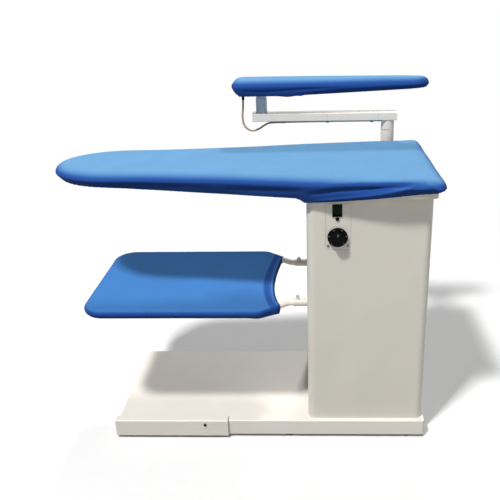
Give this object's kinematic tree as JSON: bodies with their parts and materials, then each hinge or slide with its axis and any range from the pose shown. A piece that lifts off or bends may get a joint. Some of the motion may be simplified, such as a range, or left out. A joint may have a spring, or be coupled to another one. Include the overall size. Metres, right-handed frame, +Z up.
{
  "type": "ironing table",
  "caption": "Industrial vacuum ironing table: padded S-curved board on a sheet-metal cabinet and base pan, with foot pedal, cloth shelf and a swing arm carrying a sleeve board.",
  "frame": {"origin": "on the floor under the middle of the whole table's bounding box", "axes": "+X towards the board's wide heel and the cabinet's end, +Y to the rear where the swing arm stands, +Z up"},
  "size_m": [1.209, 0.6, 1.11],
  "materials": {
    "painted_steel": "stoved cream-white enamel, satin",
    "arm_paint": "stoved off-white enamel, satin",
    "post_paint": "bluish-grey enamel, satin",
    "base_paint": "grey-beige enamel, satin",
    "zinc_steel": "zinc-plated steel",
    "bare_steel": "turned steel",
    "alloy": "mill-finish sheet, slotted",
    "bronze": "sintered bronze bush",
    "cast_scroll": "painted cast housing",
    "blue_cotton": "plain-woven azure cotton cover",
    "shelf_fabric": "plain-woven azure canvas",
    "foam": "felt and foam padding",
    "black_plastic": "black moulded thermoset",
    "gloss_black": "black moulded plastic",
    "green_plastic": "green translucent rocker",
    "amber_plastic": "amber lens",
    "grey_plastic": "grey moulded plastic",
    "seal_rubber": "black sponge rubber",
    "cable_sheath": "beige cable sheath"
  },
  "bodies": {
    "cabinet": {"arm_post": "arm_paint", "base_pan": "base_paint", "board_cover": "blue_cotton", "board_gasket": "seal_rubber", "board_heater": "bare_steel", "board_pad": "foam", "board_pan": "painted_steel", "board_plate": "alloy", "cabinet_shell": "painted_steel", "control_box": "zinc_steel", "control_plate": "painted_steel", "exhaust_collar": "zinc_steel", "exhaust_duct": "zinc_steel", "fan_housing": "cast_scroll", "fan_motor": "cast_scroll", "fan_motor_bolts": "zinc_steel", "fan_plate": "zinc_steel", "frame_bolts": "zinc_steel", "frame_nuts": "zinc_steel", "levelling_feet": "bare_steel", "mains_gland": "black_plastic", "panel_screws": "zinc_steel", "pedal_brackets": "zinc_steel", "pedal_pivot": "zinc_steel", "pedal_return_spring": "zinc_steel", "pedal_switch": "grey_plastic", "pilot_lamp": "black_plastic", "pilot_lens": "amber_plastic", "post_bracket": "painted_steel", "post_bushes": "bronze", "rear_panel": "painted_steel", "shelf_clamp_screws": "zinc_steel", "shelf_cloth": "shelf_fabric", "shelf_frame": "painted_steel", "shelf_sockets": "painted_steel", "suction_duct": "zinc_steel", "switch_bezel": "gloss_black", "thermostat_body": "grey_plastic"},
    "pedal": {"foot_pedal": "base_paint"},
    "rocker": {"switch_rocker": "green_plastic"},
    "knob": {"thermostat_knob": "black_plastic", "thermostat_spindle": "bare_steel"},
    "fan": {"fan_impeller": "alloy", "fan_shaft": "bare_steel"},
    "arm": {"arm_hub": "arm_paint", "arm_hub_block": "arm_paint", "arm_beams": "arm_paint", "arm_coupling": "bare_steel", "arm_tip_block": "arm_paint", "arm_screws": "zinc_steel", "buck_post": "post_paint", "buck_cable": "cable_sheath", "cable_clips": "grey_plastic"},
    "buck": {"buck_spindle": "post_paint", "buck_pan": "painted_steel", "buck_plate": "alloy", "buck_heater": "bare_steel", "buck_pad": "foam", "buck_cover": "blue_cotton", "cable_boot": "seal_rubber"}
  },
  "joints": [
    {"name": "pedal_press", "type": "hinge", "parent": "cabinet", "child": "pedal", "pos_m": [-0.1585, -0.2575, 0.053], "axis": [0, -1, 0], "range_deg": [0, 1.5], "stiffness_Nm_per_rad": 60, "springref_deg": -3.44, "deforming": ["pedal_return_spring"]},
    {"name": "switch_rock", "type": "hinge", "parent": "cabinet", "child": "rocker", "pos_m": [0.272, -0.241, 0.7955], "axis": [-1, 0, 0], "range_deg": [0, 12]},
    {"name": "knob_turn", "type": "hinge", "parent": "cabinet", "child": "knob", "pos_m": [0.2735, -0.26, 0.713], "axis": [0, 1, 0], "range_deg": [0, 270]},
    {"name": "fan_spin", "type": "hinge", "parent": "cabinet", "child": "fan", "pos_m": [0.36775, -0.052, 0.33], "axis": [0, 0, 1], "continuous": true},
    {"name": "arm_swing", "type": "hinge", "parent": "cabinet", "child": "arm", "pos_m": [0.4695, 0.235, 0.9], "axis": [0, 0, 1], "range_deg": [-90, 90]},
    {"name": "buck_swivel", "type": "hinge", "parent": "arm", "child": "buck", "pos_m": [0.0245, 0.235, 1], "axis": [0, 0, 1], "range_deg": [-90, 90], "deforming": ["buck_cable"]}
  ]
}
